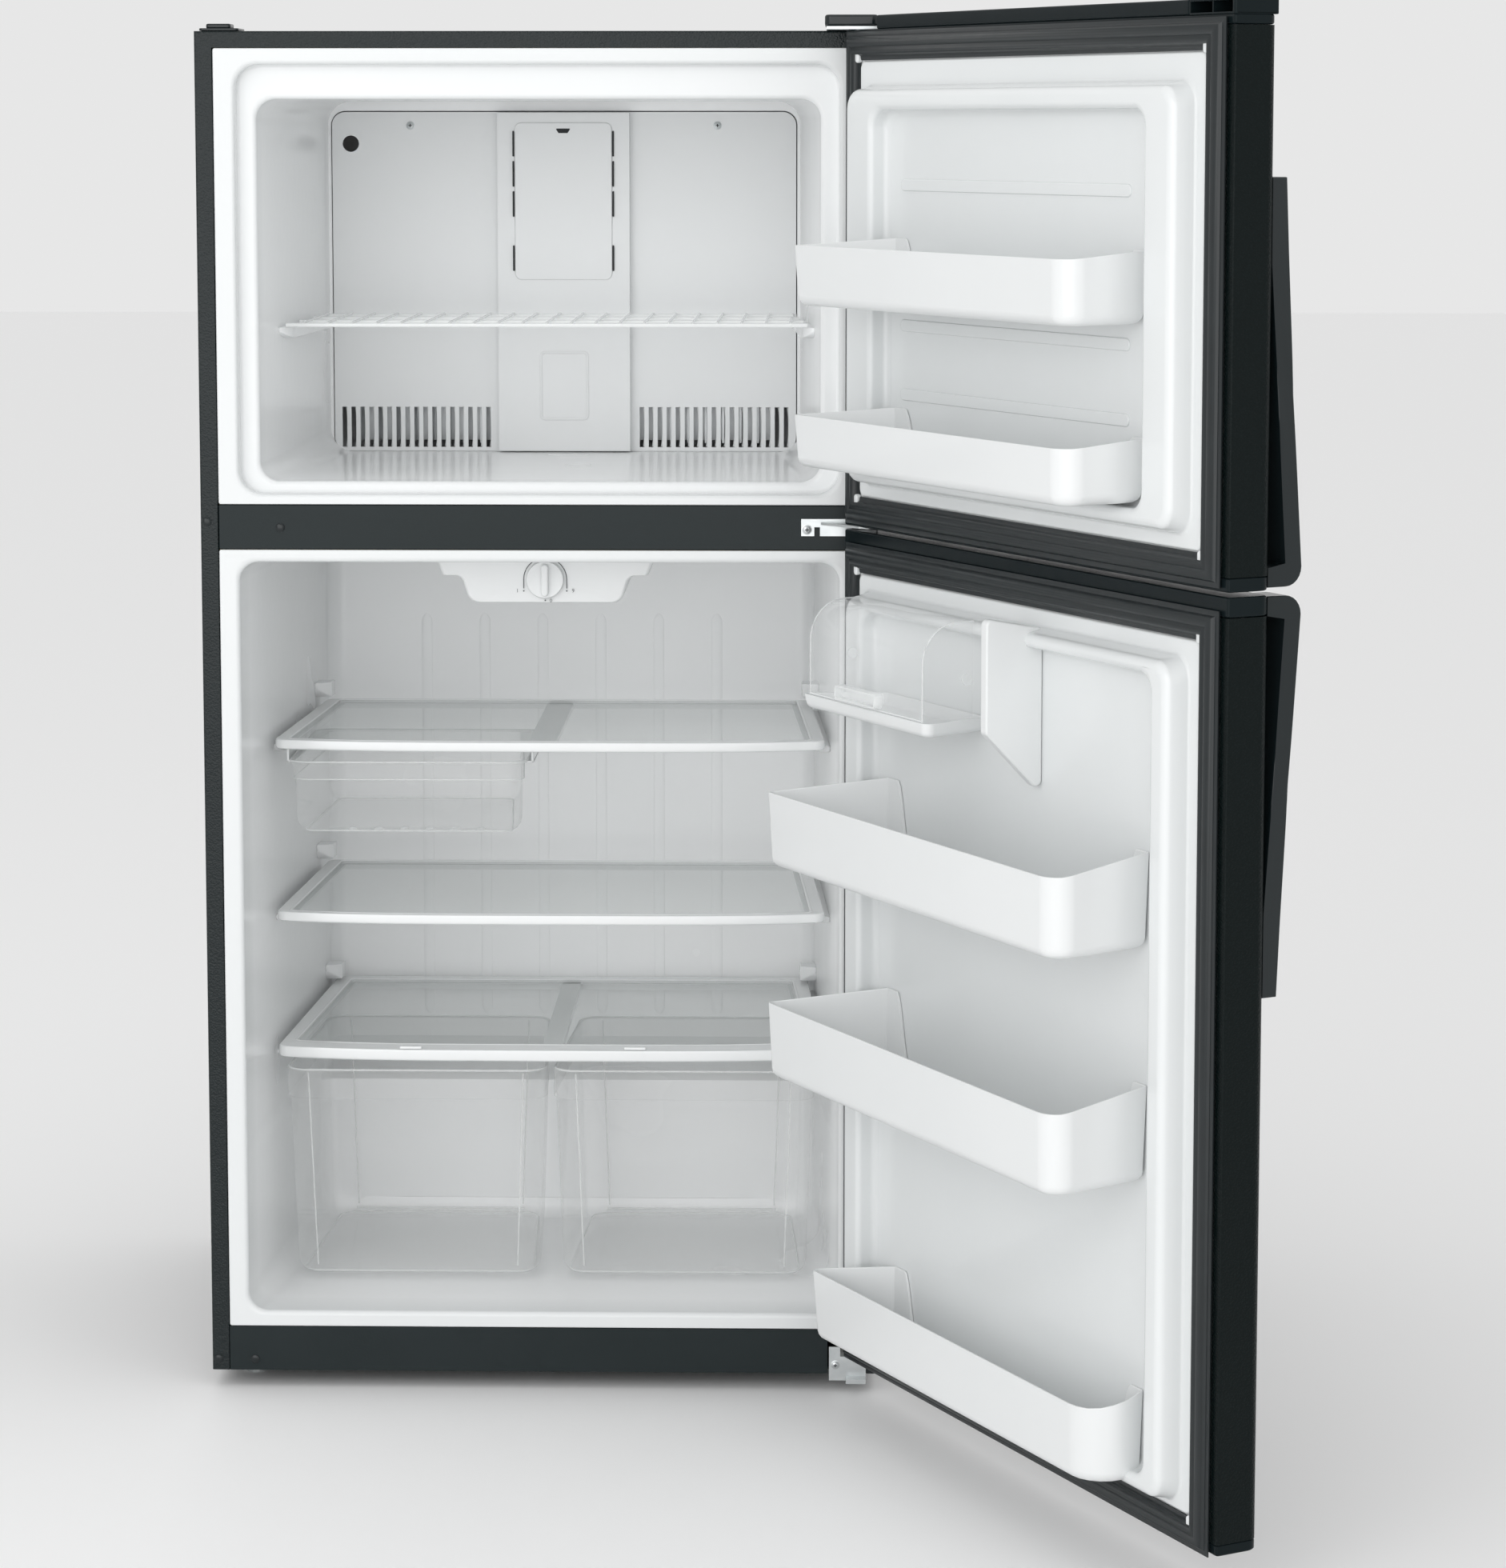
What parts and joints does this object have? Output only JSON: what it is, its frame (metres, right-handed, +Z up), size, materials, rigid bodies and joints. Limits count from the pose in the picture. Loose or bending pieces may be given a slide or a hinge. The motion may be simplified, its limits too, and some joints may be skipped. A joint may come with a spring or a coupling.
{
  "type": "top freezer refrigerator",
  "caption": "Free-standing household refrigerator with a freezer compartment above, a chilled compartment below, and both doors open on right-hand hinges.",
  "frame": {"origin": "on the floor, below the centre of the whole object's box with both doors open as drawn", "axes": "+Z up, -Y towards the person in front of the cabinet, +X towards the hinge side"},
  "size_m": [1.2694, 1.4844, 1.708],
  "materials": {
    "black_steel": "semi-gloss with a fine pebble grain",
    "smooth_black_steel": "satin",
    "black_plastic": "satin",
    "gasket_rubber": "satin",
    "liner_white": "glossy",
    "white_plastic": "satin",
    "clear_plastic": "clear, glossy",
    "shelf_glass": "clear float glass",
    "white_wire": "glossy coating on steel wire",
    "zinc_steel": "zinc plated",
    "galvanised_steel": "dull galvanised",
    "foam": "matte insulation foam",
    "fin_aluminium": "mill finish",
    "copper_tube": "dull copper colour",
    "compressor_black": "satin",
    "hardboard": "dark fibre board"
  },
  "bodies": {
    "cabinet": {"outer_case": "black_steel", "back_panel": "galvanised_steel", "base_frame": "smooth_black_steel", "mid_rail": "smooth_black_steel", "freezer_liner": "liner_white", "fridge_liner": "liner_white", "cabinet_foam": "foam", "evaporator_cover": "liner_white", "evaporator_coil": "fin_aluminium", "evaporator_fan_motor": "zinc_steel", "control_housing": "white_plastic", "lamp_cover": "clear_plastic", "crisper_cover_frame": "white_plastic", "crisper_cover_glass": "shelf_glass", "compressor": "compressor_black", "condenser_coil": "copper_tube", "condenser_fan_motor": "zinc_steel", "drain_pan": "black_plastic", "compressor_cover": "hardboard", "cord_gland": "black_plastic", "top_hinge": "zinc_steel", "top_hinge_cover": "black_plastic", "centre_hinge": "zinc_steel", "bottom_hinge": "zinc_steel", "levelling_leg_left": "zinc_steel", "levelling_leg_right": "zinc_steel"},
    "freezer_door": {"freezer_door_skin": "black_steel", "freezer_door_top_cap": "black_plastic", "freezer_door_bottom_cap": "black_plastic", "freezer_door_liner": "liner_white", "freezer_door_gasket": "gasket_rubber", "freezer_door_handle": "black_plastic", "freezer_bin_upper": "white_plastic", "freezer_bin_lower": "white_plastic"},
    "fridge_door": {"fridge_door_skin": "black_steel", "fridge_door_top_cap": "black_plastic", "fridge_door_bottom_cap": "black_plastic", "fridge_door_liner": "liner_white", "fridge_door_gasket": "gasket_rubber", "fridge_door_handle": "black_plastic", "fridge_bin_upper": "white_plastic", "fridge_bin_middle": "white_plastic", "fridge_bin_lower": "white_plastic", "dairy_tray": "white_plastic"},
    "dairy_lid": {"dairy_lid": "clear_plastic"},
    "upper_shelf": {"shelf_frame_upper": "white_plastic", "shelf_glass_upper": "shelf_glass"},
    "middle_shelf": {"shelf_frame_middle": "white_plastic", "shelf_glass_middle": "shelf_glass"},
    "snack_pan": {"snack_pan": "clear_plastic"},
    "wire_shelf": {"wire_shelf": "white_wire"},
    "crisper_left": {"crisper_left": "clear_plastic"},
    "crisper_right": {"crisper_right": "clear_plastic"},
    "temperature_knob": {"temperature_knob": "white_plastic"},
    "humidity_slider_left": {"humidity_slider_left": "white_plastic"},
    "humidity_slider_right": {"humidity_slider_right": "white_plastic"},
    "evaporator_fan": {"evaporator_fan": "white_plastic"},
    "condenser_fan": {"condenser_fan": "black_plastic"},
    "roller_left": {"roller_left": "black_plastic"},
    "roller_right": {"roller_right": "black_plastic"}
  },
  "joints": [
    {"name": "freezer_door_hinge", "type": "hinge", "parent": "cabinet", "child": "freezer_door", "pos_m": [0.18534, -0.00884, 1.4], "axis": [0, 0, 1], "range_deg": [-118.5, 20]},
    {"name": "fridge_door_hinge", "type": "hinge", "parent": "cabinet", "child": "fridge_door", "pos_m": [0.18534, -0.00884, 0.576], "axis": [0, 0, 1], "range_deg": [-118.5, 20]},
    {"name": "dairy_lid_hinge", "type": "hinge", "parent": "fridge_door", "child": "dairy_lid", "pos_m": [0.22983, -0.23957, 1.015], "axis": [-0.4772, 0.8788, 0], "range_deg": [0, 75]},
    {"name": "upper_shelf_slide", "type": "slide", "parent": "cabinet", "child": "upper_shelf", "axis": [0, -1, 0], "range_m": [0, 0.25]},
    {"name": "snack_pan_slide", "type": "slide", "parent": "upper_shelf", "child": "snack_pan", "axis": [0, -1, 0], "range_m": [0, 0.25]},
    {"name": "middle_shelf_slide", "type": "slide", "parent": "cabinet", "child": "middle_shelf", "axis": [0, -1, 0], "range_m": [0, 0.25]},
    {"name": "wire_shelf_slide", "type": "slide", "parent": "cabinet", "child": "wire_shelf", "axis": [0, -1, 0], "range_m": [0, 0.2]},
    {"name": "crisper_left_slide", "type": "slide", "parent": "cabinet", "child": "crisper_left", "axis": [0, -1, 0], "range_m": [0, 0.25]},
    {"name": "crisper_right_slide", "type": "slide", "parent": "cabinet", "child": "crisper_right", "axis": [0, -1, 0], "range_m": [0, 0.25]},
    {"name": "temperature_knob_turn", "type": "hinge", "parent": "cabinet", "child": "temperature_knob", "pos_m": [-0.21866, 0.12816, 1.01], "axis": [0, -1, 0], "range_deg": [-135, 135]},
    {"name": "humidity_left_slide", "type": "slide", "parent": "cabinet", "child": "humidity_slider_left", "axis": [1, 0, 0], "range_m": [0, 0.05]},
    {"name": "humidity_right_slide", "type": "slide", "parent": "cabinet", "child": "humidity_slider_right", "axis": [1, 0, 0], "range_m": [0, 0.05]},
    {"name": "evaporator_fan_spin", "type": "hinge", "parent": "cabinet", "child": "evaporator_fan", "pos_m": [-0.21866, 0.56516, 1.48], "axis": [0, 1, 0], "continuous": true},
    {"name": "condenser_fan_spin", "type": "hinge", "parent": "cabinet", "child": "condenser_fan", "pos_m": [-0.17866, 0.60516, 0.15], "axis": [1, 0, 0], "continuous": true},
    {"name": "roller_left_spin", "type": "hinge", "parent": "cabinet", "child": "roller_left", "pos_m": [-0.58866, 0.67016, 0.02], "axis": [1, 0, 0], "continuous": true},
    {"name": "roller_right_spin", "type": "hinge", "parent": "cabinet", "child": "roller_right", "pos_m": [0.15134, 0.67016, 0.02], "axis": [1, 0, 0], "continuous": true}
  ]
}
